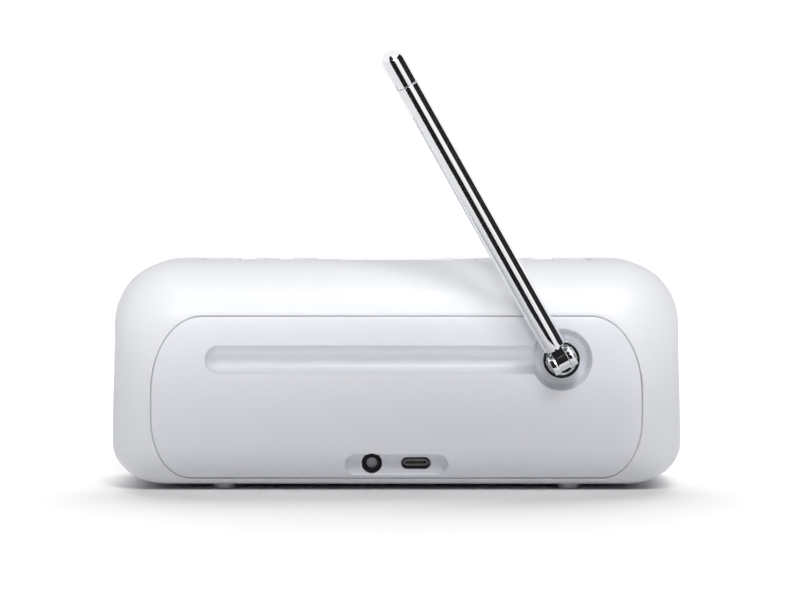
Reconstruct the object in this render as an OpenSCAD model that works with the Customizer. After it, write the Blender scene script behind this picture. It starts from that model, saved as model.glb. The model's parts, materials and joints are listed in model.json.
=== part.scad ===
// Tabletop radio with a folding telescopic antenna.
// Millimetres. +Z up, the front looks along -Y, the back along +Y.
// The origin is on the table, under the centre of the body.

/* [Body] */
// Width of the body
body_w = 186; // [150:1:230]
// Depth of the body, front to back
body_d = 72; // [60:1:90]
// Height of the body without its feet
body_h = 73; // [60:1:90]
// Wall thickness of the mouldings
wall = 2.2; // [1.6:0.1:3]
// Radius of the upper edges and corners
top_r = 21; // [16:0.5:24]
// Radius of the lower corners along X
low_rx = 16; // [12:0.5:20]
// Radius of the lower edges along Y
low_ry = 11; // [8:0.5:14]
// Radius of the lower edges along Z
low_rz = 12; // [9:0.5:15]
// Gap of the visible seams
seam_gap = 0.35; // [0.2:0.05:0.8]

/* [Feet] */
// How far the feet stand out below
foot_proud = 1.6; // [1:0.1:3]
// Width of a foot
foot_w = 6.6; // [4:0.1:12]
// Length of a foot, front to back
foot_len = 15; // [8:0.5:20]

/* [Rear cover] */
// Distance from the cover's edge to the body's side
cover_side = 13.2; // [10:0.1:18]
// Height of the cover's lower edge above the table
cover_low = 4; // [3.9:0.1:6]
// Height of the cover as a share of the body's height
cover_share = 0.73; // [0.6:0.01:0.8]
// Radius of the antenna groove
groove_r = 4.45; // [4.4:0.05:6]
// Width of the port recess
port_w = 33.7; // [30:0.1:40]
// Height of the port recess
port_h = 7.2; // [6.6:0.1:8]
// Height of the ports' centre line above the table
port_z = 9.1; // [8.8:0.1:10]
// Distance from the middle to the headphone jack
jack_x = 8; // [7:0.1:10]
// Distance from the middle to the charging port
usb_x = -6.3; // [-9:0.1:-6]

/* [Antenna] */
// Distance from the antenna pivot to the body's side
pivot_side = 39.6; // [34:0.1:50]
// Height of the pivot above the table as a share of the body's height
pivot_share = 0.588; // [0.5:0.001:0.6]
// Angle of the antenna above the stowed line at rest
antenna_turn = 60.4; // [0:0.1:180]
// Angle of the antenna away from the back at rest
antenna_tilt = 8; // [0:0.5:90]
// Length of the folded antenna, pin to tip
antenna_len = 114.6; // [90:0.1:130]
// Diameter of the widest tube
tube_d = 7.7; // [6.5:0.1:8.4]
// Length of the tip cap
tip_len = 12.5; // [8:0.1:16]
// Wall of each tube
tube_wall = 0.42; // [0.3:0.02:0.5]
// Radial play between two tubes
tube_play = 0.08; // [0.05:0.01:0.1]
// Diameter of the turret
turret_d = 12.2; // [10:0.1:14]
// Diameter of the recess around the turret
recess_d = 19.6; // [17:0.1:24]

/* [Controls] */
// Radius of a round key
key_r = 4.3; // [3.4:0.1:4.6]
// Travel of a key
key_travel = 0.5; // [0.3:0.05:0.6]
// Width of the display window
display_w = 40; // [30:1:46]
// Depth of the display window
display_d = 16; // [12:0.5:18]

/* [Sound] */
// Radius of the driver's opening in the baffle
driver_r = 20.3; // [17:0.1:21]
// Radius of the cone
cone_r = 15; // [12:0.1:15.4]
// Diameter of the battery cell
cell_d = 18.4; // [14:0.1:19]
// Length of the battery cell
cell_len = 65; // [50:1:70]

/* [Hidden] */

$fn = 48;
ball_fn = 36;                           // facets of the balls that round the body
eps = 0.01;

// Body levels
back_y = body_d / 2;
top_z = foot_proud + body_h;
top_x = body_w / 2 - top_r;             // half width of the flat top
top_y = body_d / 2 - top_r;             // half depth of the flat top
low_x = body_w / 2 - low_rx;
low_y = body_d / 2 - low_ry;
floor_z = foot_proud + wall;

// Rear cover outline and screw tabs
seam_steps = 8;
cover_half = body_w / 2 - cover_side;
cover_high = cover_low + body_h * cover_share;
cover_top_corner = [17, 25 * body_h / 73];
cover_low_corner = [13, 20 * body_h / 73];
ledge_t = 2;
rear_ledge_y = back_y - 8;              // rear face of the rear ledge
cover_bolt_in = 4.6;
cover_bolts = [
    [40, cover_high - cover_bolt_in], [-40, cover_high - cover_bolt_in],
    [cover_half - 5, body_h * 0.37], [5 - cover_half, body_h * 0.37],
    [38, cover_low + cover_bolt_in], [-38, cover_low + cover_bolt_in]];
cover_boss_r = 2.8;
screw_hole_r = 1;                       // hole of a post for a small screw

// Front outline, from the grille back to the ledge
front_half = body_w / 2 - 13;
front_low = 6.3;
front_high = top_z - 14.6;
front_mid = (front_low + front_high) / 2;
front_corner = [20, 22];
grille_y = -back_y + 2.6;               // front face of the grille
grille_t = 0.8;
trim_y = grille_y + grille_t;
trim_w = 1.5;
baffle_y = trim_y + 2.2;                // front face of the baffle
baffle_t = 2.5;
front_ledge_y = baffle_y + baffle_t;    // front face of the front ledge
baffle_bolts = [
    [0, front_high - 5], [0, front_low + 5],
    [front_half - 5, front_mid], [5 - front_half, front_mid]];
speaker_x = front_half - 40;            // driver on the left, radiator on the right
lug_turn = 45;
lug_r = 3.2;
lug_at = driver_r + 4.2;

// Antenna
pivot = [-body_w / 2 + pivot_side, foot_proud + body_h * pivot_share - 1.5];
pin_y = back_y + 5;                     // pin axis behind the body's back
groove_y = back_y - 0.5;
groove_end = pivot[0] + antenna_len + 0.7 - groove_r;
recess_y = back_y - 5;                  // floor of the recess
turret_top_y = back_y + 0.4;
boss_y = back_y - 11.4;                 // inner end of the pivot boss
stem_r = 3;
stem_play = 0.06;
stem_end_y = boss_y - 0.9;
tube_r = tube_d / 2;
tube_step = tube_wall + tube_play;
tube_from = 5.2;
tube_to = antenna_len - tip_len - 0.1;
lug_plug = 4.4;                         // length of the lug's plug in the tube
inner_from = tube_from + lug_plug + 0.6;
pin_r = 1.1;
ear_r = 3.3;
ear_in = 1.95;                          // half gap between the ears
ear_out = 4.1;

// Top panel
panel_w = 2 * top_x - 14;
panel_d = min(2 * top_y - 5, 26);
panel_r = 8;
panel_top = top_z - 0.4;
panel_low = top_z - wall - 1.6;
panel_flange = 2.2;
window_t = 1.5;
key_step = (panel_w - display_w) / 6 * 0.87;
key_row = panel_d / 4;
key_first = panel_w / 2 - key_step * 0.66;
key_flange_r = key_r + 0.8;
key_flange_t = 1.1;
key_low = panel_low - 1;                // lower face of a key's flange, minus its height
mat_top = key_low - key_flange_t - key_travel - 0.15;
mat_t = 1;
key_board_t = 1.6;
key_board_top = mat_top - mat_t;
key_board_w = panel_w - 8;
key_board_d = panel_d - 4;
panel_posts = [key_first - key_step / 2, display_w / 2 + 3, -display_w / 2 - 3, key_step / 2 - key_first];
mat_x = key_board_w / 2 - 2;            // half width of the mat

// Board, ports and battery
board_t = 1.6;
board_top = port_z - 1.7;
board_half = 33;
board_front = -12 * body_d / 72;
board_back = rear_ledge_y - ledge_t - 0.6;
tongue_half = 16;
port_floor_y = back_y - 4.2;
port_back_y = port_floor_y - 2;
tongue_y = port_back_y - 1.3;
socket_y = port_floor_y - 0.2;
jack_r = 3.1;
plug_r = 1.8;
usb_size = [8.94, 3.26];
usb_open = [8.34, 2.56];
board_posts = [[29, board_front + 4], [-29, board_front + 4], [29, board_back - 5], [-29, board_back - 5]];
cell_y = back_y - 25.5;
cell_z = board_top + 9 + cell_d / 2;
tray_half = cell_len / 2 + 2.4;
tray_post_x = tray_half + 4;
tray_posts = [[tray_post_x, cell_y - 6], [tray_post_x, cell_y + 6],
    [-tray_post_x, cell_y - 6], [-tray_post_x, cell_y + 6]];
post_r = 2.5;
post_z = board_top - board_t;           // top of the floor posts
feet_at = [[56.5 * body_w / 186, body_d / 4], [-56.5 * body_w / 186, body_d / 4],
    [56.5 * body_w / 186, -body_d / 4], [-56.5 * body_w / 186, -body_d / 4]];
foot_seat = 0.8;

// Colours
c_body = [0.93, 0.94, 0.96];
c_cover = [0.88, 0.89, 0.93];
c_grey = [0.62, 0.64, 0.67];
c_key = [0.96, 0.96, 0.97];
c_chrome = [0.78, 0.8, 0.83];
c_steel = [0.6, 0.62, 0.64];
c_black = [0.06, 0.06, 0.07];
c_foot = [0.82, 0.83, 0.85];
c_board = [0.06, 0.3, 0.17];
c_cell = [0.15, 0.35, 0.6];
c_gold = [0.8, 0.64, 0.3];

// ---- Outlines -------------------------------------------------------------

function corner_pts(cx, cz, rx, rz, a0) = [for (i = [0:seam_steps])
    let (a = a0 + 90 * i / seam_steps) [cx + rx * cos(a), cz + rz * sin(a)]];

// Rounded outline with other corners above than below; g draws it inwards
function outline_pts(half, low, high, up, down, g) = concat(
    corner_pts(half - up[0], high - up[1], up[0] - g, up[1] - g, 0),
    corner_pts(up[0] - half, high - up[1], up[0] - g, up[1] - g, 90),
    corner_pts(down[0] - half, low + down[1], down[0] - g, down[1] - g, 180),
    corner_pts(half - down[0], low + down[1], down[0] - g, down[1] - g, 270));

function cover_pts(g) = outline_pts(cover_half, cover_low, cover_high, cover_top_corner,
    cover_low_corner, g);
function front_pts(g) = outline_pts(front_half, front_low, front_high, front_corner,
    front_corner, g);

// Rounded rectangle about the origin, six steps in each corner
function box_pts(w, h, r) = [for (q = [0:3]) for (i = [0:6])
    let (a = 90 * q + 15 * i, sx = (q == 0 || q == 3) ? 1 : -1, sy = q < 2 ? 1 : -1)
        [sx * (w / 2 - r) + r * cos(a), sy * (h / 2 - r) + r * sin(a)]];

// Slot with round ends along its longer side
module slot(w, h) {
    r = min(w, h) / 2 - eps;
    polygon(box_pts(w, h, r));
}

module y_prism(y0, y1) translate([0, y1, 0]) rotate([90, 0, 0])
    linear_extrude(height = y1 - y0) children();

module y_rod(x, z, r, y0, y1) translate([x, y1, z]) rotate([90, 0, 0])
    cylinder(r = r, h = y1 - y0);

// Turned profile of radius and depth, its axis along +Y
module y_turned(x, z, y0) translate([x, y0, z]) rotate([-90, 0, 0])
    rotate_extrude($fn = 48) children();

module y_screw(x, z, y0, dir, length, head_r, head_t, shank_r) translate([x, y0, z])
    rotate([dir * -90, 0, 0]) difference() {
        union() {
            translate([0, 0, -head_t]) cylinder(r = head_r, h = head_t, $fn = 24);
            cylinder(r = shank_r, h = length, $fn = 24);
        }
        translate([0, 0, -head_t - 1]) cylinder(r = head_r * 0.42, h = 1 + head_t * 0.6, $fn = 6);
    }

module z_screw(x, y, z, dir, length) translate([x, y, z]) rotate([dir > 0 ? 180 : 0, 0, 0])
    difference() {
        union() {
            cylinder(r = 2, h = 1.1, $fn = 24);
            translate([0, 0, -length]) cylinder(r = 0.95, h = length + 0.1, $fn = 24);
        }
        translate([0, 0, 0.5]) cylinder(r = 0.85, h = 2, $fn = 6);
    }

// Body with every edge rounded; inset draws all of it inwards
module body_solid(inset) hull() {
    grow = 1 / cos(180 / ball_fn);
    for (sx = [-1, 1], sy = [-1, 1]) {
        translate([sx * top_x, sy * top_y, top_z - top_r])
            sphere(r = (top_r - inset) * grow, $fn = ball_fn);
        translate([sx * low_x, sy * low_y, foot_proud + low_rz])
            scale([(low_rx - inset) / (low_rz - inset), (low_ry - inset) / (low_rz - inset), 1])
                sphere(r = (low_rz - inset) * grow, $fn = ball_fn);
    }
}

// ---- Housing, cover and front ----------------------------------------------

// Middle of the wall at a depth y: above the top corners' centres, and beside them at a height z
function wall_z(y) = top_z - top_r + sqrt(pow(top_r - wall / 2, 2) - pow(abs(y) - top_y, 2));
function wall_x(y, z) = let (share = (z - foot_proud - low_rz) / (body_h - low_rz - top_r),
    high = top_x + sqrt(pow(top_r - wall / 2, 2) - pow(abs(y) - top_y, 2)),
    low = low_x + (low_rx - wall / 2) * sqrt(1 - pow((abs(y) - low_y) / (low_ry - wall / 2), 2)))
        low + (high - low) * share;
lug_half = 4.5;

// Screw tab from a wall to a screw position; way is 1 for up, -1 for down, 0 for sideways
module tab(p, y0, way) {
    y = y0 + ledge_t / 2;
    if (way > 0) translate([p[0] - lug_half, y0, p[1] - 3.6])
        cube([2 * lug_half, ledge_t, wall_z(y) - p[1] + 3.6]);
    if (way < 0) translate([p[0] - lug_half, y0, foot_proud + wall * 0.7])
        cube([2 * lug_half, ledge_t, p[1] + 3.6 - foot_proud - wall * 0.7]);
    if (way == 0) translate([p[0] > 0 ? p[0] - 3.6 : -wall_x(y, p[1]), y0, p[1] - lug_half])
        cube([wall_x(y, p[1]) - abs(p[0]) + 3.6, ledge_t, 2 * lug_half]);
}

module main_housing() color(c_body) difference() {
    union() {
        difference() {
            body_solid(0);
            body_solid(wall);
        }
        for (i = [0:5]) tab(cover_bolts[i], rear_ledge_y - ledge_t, i < 2 ? 1 : i < 4 ? 0 : -1);
        for (i = [0:3]) tab(baffle_bolts[i], front_ledge_y, i == 0 ? 1 : i == 1 ? -1 : 0);
        for (p = concat(board_posts, tray_posts)) translate([p[0], p[1], floor_z - wall * 0.4])
            cylinder(r = post_r, h = post_z - floor_z + wall * 0.4, $fn = 24);
    }
    y_prism(rear_ledge_y, back_y + 5) polygon(cover_pts(0));
    y_prism(-back_y - 5, front_ledge_y) polygon(front_pts(0));
    translate([0, 0, top_z - wall - 1]) linear_extrude(height = wall + 5)
        polygon(box_pts(panel_w, panel_d, panel_r));
    for (p = cover_bolts) y_rod(p[0], p[1], 1.4, rear_ledge_y - 4, rear_ledge_y + 1, $fn = 24);
    for (p = baffle_bolts) y_rod(p[0], p[1], 1.0, front_ledge_y - 1, front_ledge_y + 4, $fn = 24);
    for (p = concat(board_posts, tray_posts)) translate([p[0], p[1], floor_z + 0.3])
        cylinder(r = screw_hole_r, h = 8, $fn = 24);
    for (p = feet_at) translate([p[0], p[1], foot_proud - 3]) linear_extrude(height = 3 + foot_seat)
        slot(foot_w + 0.3, foot_len + 0.3);
}

module cover_backing() {
    for (p = cover_bolts) y_rod(p[0], p[1], cover_boss_r, rear_ledge_y, back_y + 2, $fn = 24);
    translate([pivot[0], groove_y, pivot[1]]) rotate([0, 90, 0])
        cylinder(r = groove_r + 2, h = groove_end - pivot[0]);
    translate([groove_end, groove_y, pivot[1]]) sphere(r = groove_r + 2);
    y_rod(pivot[0], pivot[1], recess_d / 2 + 2, recess_y - 2, back_y);
    y_rod(pivot[0], pivot[1], 6, boss_y, recess_y);
    y_prism(port_back_y, back_y) translate([0, port_z]) polygon(box_pts(port_w + 5, port_h + 6, 3));
}

module rear_cover() color(c_cover) difference() {
    intersection() {
        y_prism(rear_ledge_y - 10, back_y + 5) polygon(cover_pts(seam_gap));
        difference() {
            body_solid(0);
            difference() {
                body_solid(wall);
                cover_backing();
            }
        }
    }
    translate([pivot[0], groove_y, pivot[1]]) rotate([0, 90, 0])
        cylinder(r = groove_r, h = groove_end - pivot[0]);
    translate([groove_end, groove_y, pivot[1]]) sphere(r = groove_r);
    y_rod(pivot[0], pivot[1], recess_d / 2, recess_y, back_y + 5);
    y_rod(pivot[0], pivot[1], stem_r + stem_play, boss_y - 5, recess_y + 1);
    y_prism(port_floor_y, back_y + 5) translate([0, port_z - 0.5]) slot(port_w, port_h);
    y_rod(jack_x, port_z, jack_r + 0.1, port_back_y - 3, back_y);
    y_prism(port_back_y - 3, back_y) translate([usb_x, port_z]) slot(usb_size[0] + 0.4, usb_size[1] + 0.4);
    for (p = cover_bolts) y_rod(p[0], p[1], 1, rear_ledge_y - 1, rear_ledge_y + 4.5, $fn = 24);
}

module front_baffle() color(c_black) y_prism(baffle_y, baffle_y + baffle_t) difference() {
    polygon(front_pts(0.4));
    for (s = [-1, 1]) translate([s * speaker_x, front_mid]) {
        circle(r = driver_r + 0.2);
        for (i = [0:3]) rotate(lug_turn + 90 * i) translate([lug_at, 0]) circle(r = 0.95, $fn = 24);
    }
    for (p = baffle_bolts) translate(p) circle(r = 1.5, $fn = 24);
}

slot_w = 2.2;                           // grille slots
// Slot with pointed round ends, eight sides
function hole_pts(w, h) = [for (s = [1, -1], i = [0:3]) let (a = 90 * (1 - s) + 60 * i)
    [w / 2 * cos(a), s * (h - w) / 2 + w / 2 * sin(a)]];
slot_h = 6.4;
slot_dx = 4.8;
slot_dz = 8.6;
slot_rows = 5;
slot_cols = 14;                         // to each side of the middle column

module grille() color(c_grey) y_prism(grille_y, grille_y + grille_t) difference() {
    polygon(front_pts(seam_gap));
    for (j = [0:slot_rows - 1], i = [-slot_cols:slot_cols])
        if (!(i == slot_cols && j % 2 == 1) && (abs(i) < slot_cols - 1 || (j > 0 && j < slot_rows - 1)))
            translate([(i + (j % 2) / 2) * slot_dx * body_w / 186,
                front_mid + (j - (slot_rows - 1) / 2) * slot_dz * body_h / 73])
                    polygon(hole_pts(slot_w, slot_h));
}

module grille_trim() color(c_body) y_prism(trim_y, baffle_y) difference() {
    polygon(front_pts(seam_gap));
    polygon(front_pts(seam_gap + trim_w));
}

// ---- Controls ----------------------------------------------------------------

key_cols = [for (i = [0:2]) key_first - i * key_step];
keys_at = [for (s = [-1, 1], i = [0:2], r = [1, -1]) [s * key_cols[s < 0 ? i : 2 - i], r * key_row]];

module top_panel() color(c_body) difference() {
    union() {
        translate([0, 0, panel_low + 0.5]) linear_extrude(height = panel_top - panel_low - 0.5)
            polygon(box_pts(panel_w - 2 * seam_gap, panel_d - 2 * seam_gap, panel_r - seam_gap));
        translate([0, 0, panel_low]) linear_extrude(height = 1.5)
            polygon(box_pts(panel_w + 2 * panel_flange, panel_d + 2 * panel_flange, panel_r + panel_flange));
        for (x = panel_posts) translate([x, 0, key_board_top])
            cylinder(r = 2.2, h = panel_low - key_board_top + 0.5, $fn = 24);
    }
    for (p = keys_at) translate([p[0], p[1], panel_low - 1]) cylinder(r = key_r + 0.2, h = 10, $fn = 40);
    translate([0, 0, panel_low - 1]) linear_extrude(height = 10)
        polygon(box_pts(display_w, display_d, 2));
    for (x = panel_posts) translate([x, 0, key_board_top - 1]) cylinder(r = screw_hole_r, h = 4.5, $fn = 24);
}

module display_window() color([0.05, 0.06, 0.08]) translate([0, 0, panel_top - window_t])
    linear_extrude(height = window_t) polygon(box_pts(display_w - 0.4, display_d - 0.4, 1.8));

module display_module() color([0.35, 0.42, 0.4]) translate([0, 0, panel_top - window_t - 2.6])
    linear_extrude(height = 2.5) polygon(box_pts(display_w - 1.6, display_d - 1.6, 0.8));

module key(i) color(c_key) translate([keys_at[i][0], keys_at[i][1], 0]) {
    translate([0, 0, key_low - eps]) cylinder(r = key_r, h = top_z - key_low + eps, $fn = 40);
    translate([0, 0, key_low - key_flange_t]) cylinder(r = key_flange_r, h = key_flange_t, $fn = 40);
}

module key_power() key(0);
module key_preset_1() key(1);
module key_wireless() key(2);
module key_preset_2() key(3);
module key_source() key(4);
module key_preset_3() key(5);
module key_menu() key(6);
module key_volume_down() key(7);
module key_tune_down() key(8);
module key_select() key(9);
module key_tune_up() key(10);
module key_volume_up() key(11);

module key_mat() color([0.5, 0.5, 0.52]) difference() {
    union() {
        translate([0, 0, key_board_top]) linear_extrude(height = mat_t - 0.25)
            polygon(box_pts(2 * mat_x, key_board_d - 1, 2));
        for (p = keys_at) translate([p[0], p[1], key_board_top + 0.1])
            cylinder(r = 3.6, h = mat_t - 0.1, $fn = 24);
    }
    for (p = keys_at) translate([p[0], p[1], key_board_top - 1]) cylinder(r = 3, h = 1.5, $fn = 24);
    for (x = panel_posts) translate([x, 0, key_board_top - 1]) cylinder(r = 2.5, h = 5, $fn = 24);
}

module key_domes() color(c_gold) for (p = keys_at)
    translate([p[0], p[1], key_board_top]) cylinder(r1 = 2.6, r2 = 1.6, h = 0.35, $fn = 24);

module key_board() color(c_board) difference() {
    union() {
        translate([0, 0, key_board_top - key_board_t]) linear_extrude(height = key_board_t)
            polygon(box_pts(key_board_w, key_board_d, 2));
        translate([-6, key_board_d / 2 - 7, key_board_top - key_board_t - 2]) cube([12, 4, 2.1]);
    }
    for (x = panel_posts) translate([x, 0, key_board_top - 5]) cylinder(r = 1.2, h = 10, $fn = 24);
}

module panel_screws() color(c_steel) for (x = panel_posts)
    z_screw(x, 0, key_board_top - key_board_t, 1, key_board_t + 3);

// Flat cable from the control board down behind the battery to the main board
cable_t = 0.3;
cable_half = 4.5;
cable_top = key_board_top - key_board_t - 2;
cable_y = min(cell_y + cell_d / 2 + 3.4, back_y - 11);
cable_path = [[key_board_d / 2 - 5, cable_top], [key_board_d / 2 - 5, cable_top - 3],
    [cable_y, cable_top - 9], [cable_y, board_top + 8], [cable_y - 4, board_top + 4],
    [cable_y - 4, board_top + 2.4]];
module key_cable() color([0.85, 0.83, 0.75]) translate([-cable_half, 0, 0]) rotate([90, 0, 90])
    linear_extrude(height = 2 * cable_half) polygon(concat(
        [for (p = cable_path) [p[0], p[1]]],
        [for (i = [len(cable_path) - 1:-1:0]) [cable_path[i][0] + cable_t, cable_path[i][1]]]));

// ---- Sound -------------------------------------------------------------------

module flange_2d(hole) difference() {
    union() {
        circle(r = driver_r + 2.2);
        for (i = [0:3]) rotate(lug_turn + 90 * i) {
            translate([lug_at, 0]) circle(r = lug_r, $fn = 24);
            translate([driver_r, -lug_r]) square([lug_at - driver_r, 2 * lug_r]);
        }
    }
    circle(r = hole);
    for (i = [0:3]) rotate(lug_turn + 90 * i) translate([lug_at, 0]) circle(r = 1.1, $fn = 24);
}
flange_t = 1.2;
ring_r = driver_r - 0.7;                // inside of the frame's rim
seat_r = cone_r + 3.1;                  // seat of the surround
cone_front = 1.2;                       // depth of the cone's edge behind the baffle's face

module driver_basket() color(c_black) {
    difference() {
        union() {
            translate([-speaker_x, 0, front_mid]) y_prism(baffle_y - flange_t, baffle_y) flange_2d(ring_r);
            y_turned(-speaker_x, front_mid, baffle_y) polygon([[ring_r, -0.2], [driver_r, -0.2],
                [driver_r, 3], [14, 12], [14, 13.4], [8.4, 13.4], [8.4, 12.2], [12.6, 12.2],
                [seat_r, 3.4], [seat_r, 1.7], [ring_r, 1.7]]);
        }
        for (i = [0:3]) translate([-speaker_x, baffle_y + 7.4, front_mid]) rotate([0, 45 + 90 * i, 0])
            translate([0, -2.2, -5]) cube([30, 4.4, 10]);
    }
}

module driver_magnet() color(c_steel) y_turned(-speaker_x, front_mid, baffle_y)
    polygon([[7.8, 13.5], [14.5, 13.5], [14.5, 16], [13.6, 16], [13.6, 22], [14.5, 22], [14.5, 24.5],
        [0, 24.5], [0, 14.2], [6.1, 14.2], [6.1, 20.5], [7.8, 20.5]]);

module driver_cone() color([0.12, 0.12, 0.13]) y_turned(-speaker_x, front_mid, baffle_y)
    polygon([[0, 5.4], [4, 6], [7.6, 8], [cone_r - 0.6, cone_front], [cone_r, cone_front],
        [cone_r, cone_front + 0.6], [7.3, 10.2], [7.3, 17], [6.7, 17], [6.7, 8.9], [4, 6.8], [0, 6.2]]);

roll_r = (seat_r - cone_r) / 2;
module surround_2d() {
    mid = (seat_r + cone_r) / 2;
    out = [for (i = [0:9]) [mid + (roll_r - 0.05) * cos(20 * i), cone_front - roll_r * 0.8 * sin(20 * i)]];
    in = [for (i = [9:-1:0]) [mid + (roll_r - 0.45) * cos(20 * i),
        cone_front + 0.45 - (roll_r * 0.8) * sin(20 * i)]];
    polygon(concat([[ring_r - 0.05, cone_front]], out, in, [[ring_r - 0.05, cone_front + 0.45]]));
}
module driver_surround() color([0.08, 0.08, 0.09]) y_turned(-speaker_x, front_mid, baffle_y) surround_2d();
module radiator_surround() color([0.08, 0.08, 0.09]) y_turned(speaker_x, front_mid, baffle_y) surround_2d();

module radiator_ring() color(c_black) {
    translate([speaker_x, 0, front_mid]) y_prism(baffle_y - flange_t, baffle_y) flange_2d(ring_r);
    y_turned(speaker_x, front_mid, baffle_y) polygon([[ring_r, -0.2], [driver_r, -0.2],
        [driver_r, 3.6], [seat_r, 3.6], [seat_r, 1.7], [ring_r, 1.7]]);
}

module radiator_weight() color([0.2, 0.2, 0.22]) y_turned(speaker_x, front_mid, baffle_y)
    polygon([[0, cone_front - 0.4], [cone_r - 3, cone_front - 0.4], [cone_r - 2, cone_front], [cone_r, cone_front],
        [cone_r, cone_front + 0.6], [cone_r - 3, cone_front + 0.6], [cone_r - 4, cone_front + 2.6],
        [0, cone_front + 2.6]]);

module driver_screws() color(c_steel) for (s = [-1, 1], i = [0:3])
    y_screw(s * speaker_x + lug_at * cos(lug_turn + 90 * i), front_mid + lug_at * sin(lug_turn + 90 * i),
        baffle_y - flange_t, 1, 3.4, 1.9, 0.7, 0.9);

module baffle_screws() color(c_steel) for (p = baffle_bolts)
    y_screw(p[0], p[1], baffle_y, 1, baffle_t + ledge_t, 2.4, 1.2, 0.95);

module cover_screws() color(c_steel) for (p = cover_bolts)
    y_screw(p[0], p[1], rear_ledge_y - ledge_t, 1, ledge_t + 4, 2.3, 1.3, 0.95);

// ---- Battery and boards ------------------------------------------------------

module battery_cell() color(c_cell) translate([-cell_len / 2, cell_y, cell_z]) rotate([0, 90, 0]) {
    cylinder(r = cell_d / 2, h = cell_len);
    cylinder(r = 3, h = cell_len + 1, $fn = 24);
}

module battery_tray() color([0.2, 0.2, 0.22]) difference() {
    union() {
        translate([-tray_half, cell_y - cell_d / 2 - 1.6, cell_z - cell_d / 2 - 1.8])
            cube([2 * tray_half, cell_d + 3.2, cell_d / 2 + 1.8]);
        for (s = [-1, 1]) {
            translate([s * (tray_post_x - 1) - 4.5, cell_y - 9, post_z]) cube([9, 18, 2]);
            translate([s * (tray_half - 0.1) - 1.5, cell_y - 9, post_z]) cube([3, 18, cell_z - post_z]);
        }
    }
    translate([-cell_len / 2 - 1.2, cell_y, cell_z]) rotate([0, 90, 0])
        cylinder(r = cell_d / 2 + 0.15, h = cell_len + 2.4);
    for (p = tray_posts) translate([p[0], p[1], post_z - 1]) cylinder(r = 1.2, h = 5, $fn = 24);
}

module main_board() color(c_board) difference() {
    union() {
        translate([-board_half, board_front, post_z]) cube([2 * board_half, board_back - board_front, board_t]);
        translate([-tongue_half, board_back - 5, post_z]) cube([2 * tongue_half, tongue_y - board_back + 5, board_t]);
    }
    for (p = board_posts) translate([p[0], p[1], post_z - 1]) cylinder(r = 1.2, h = 4, $fn = 24);
}

module board_parts() color([0.1, 0.1, 0.11]) translate([0, board_front, board_top]) {
    translate([-6, 6, 0]) cube([10, 10, 1.2]);
    translate([12, 5, 0]) cube([7, 7, 1]);
    translate([14, 18, 0]) cube([6, 6, 3]);
    translate([24, 12, 0]) cube([6, 5, 2]);
    translate([-31, 13, 0]) cube([5, 6, 4.5]);
    for (i = [0:2]) translate([6 + 7 * i, 2.6, 0]) cylinder(r = 2.4, h = 5.6, $fn = 24);
    translate([-5, cable_y - 6 - board_front, 0]) cube([9, 4, 2.3]);
}

module tuner_can() color(c_steel) translate([-25, board_front + 9, board_top]) difference() {
    cube([17, 15, 3.4]);
    translate([0.4, 0.4, -1]) cube([16.2, 14.2, 4]);
}

module usb_c_socket() color(c_steel) {
    difference() {
        union() {
            y_prism(socket_y - 8.6, socket_y) translate([usb_x, port_z]) slot(usb_size[0], usb_size[1]);
            translate([usb_x - 4, socket_y - 8, board_top]) cube([8, 5, 1]);
        }
        y_prism(socket_y - 6.6, socket_y + 1) translate([usb_x, port_z]) slot(usb_open[0], usb_open[1]);
    }
    translate([usb_x - 3.3, socket_y - 7, port_z - 0.35]) cube([6.6, 6, 0.7]);
}

module aux_jack_socket() color(c_black) difference() {
    union() {
        translate([jack_x - 3.4, socket_y - 15.4, board_top])
            cube([6.8, socket_y - tongue_y + 15.4 - (socket_y - tongue_y) * 2 + 0.4, 4.9]);
        y_rod(jack_x, port_z, jack_r - 0.05, tongue_y + 0.2, socket_y);
    }
    y_rod(jack_x, port_z, plug_r, socket_y - 14, socket_y + 1);
}

module port_seal() color(c_black) y_prism(port_back_y - 0.85, port_back_y - 0.05) difference() {
    translate([0, port_z + 1]) slot(port_w - 4, port_h + 0.4);
    translate([jack_x, port_z]) circle(r = jack_r + 0.15);
    translate([usb_x, port_z]) slot(usb_size[0] + 0.4, usb_size[1] + 0.4);
}

module board_screws() color(c_steel) {
    for (p = board_posts) z_screw(p[0], p[1], board_top, -1, board_t + 1.6);
    for (p = tray_posts) z_screw(p[0], p[1], post_z + 2, -1, 3.6);
}

// ---- Antenna ------------------------------------------------------------------

// Stowed frame: tube along +X from the pin; children turn with the turret
module at_turret() translate([pivot[0], 0, pivot[1]]) rotate([0, -antenna_turn, 0]) children();
module at_pin() translate([pivot[0], pin_y, pivot[1]]) rotate([0, -antenna_turn, 0])
    rotate([0, 0, antenna_tilt]) children();
module along(s0, s1, r) translate([s0, 0, 0]) rotate([0, 90, 0]) cylinder(r = r, h = s1 - s0);

module antenna_turret() color(c_chrome) at_turret() difference() {
    union() {
        y_rod(0, 0, turret_d / 2, recess_y + 0.15, turret_top_y - 0.6);
        y_turned(0, 0, 0) polygon([[0, turret_top_y - 1], [turret_d / 2, turret_top_y - 1],
            [turret_d / 2, turret_top_y - 0.6], [turret_d / 2 - 0.6, turret_top_y], [0, turret_top_y]]);
        y_rod(0, 0, stem_r, stem_end_y, recess_y + 1);
        for (s = [-1, 1]) {
            translate([-ear_r, turret_top_y - 0.5, s > 0 ? ear_in : -ear_out])
                cube([2 * ear_r, pin_y - turret_top_y + 0.5, ear_out - ear_in]);
            translate([0, pin_y, s > 0 ? ear_in : -ear_out]) cylinder(r = ear_r, h = ear_out - ear_in);
        }
    }
    translate([0, pin_y, -8]) cylinder(r = pin_r + 0.02, h = 16, $fn = 32);
    y_rod(0, 0, 1.22, stem_end_y - 1, recess_y + 2, $fn = 32);
}

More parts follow.
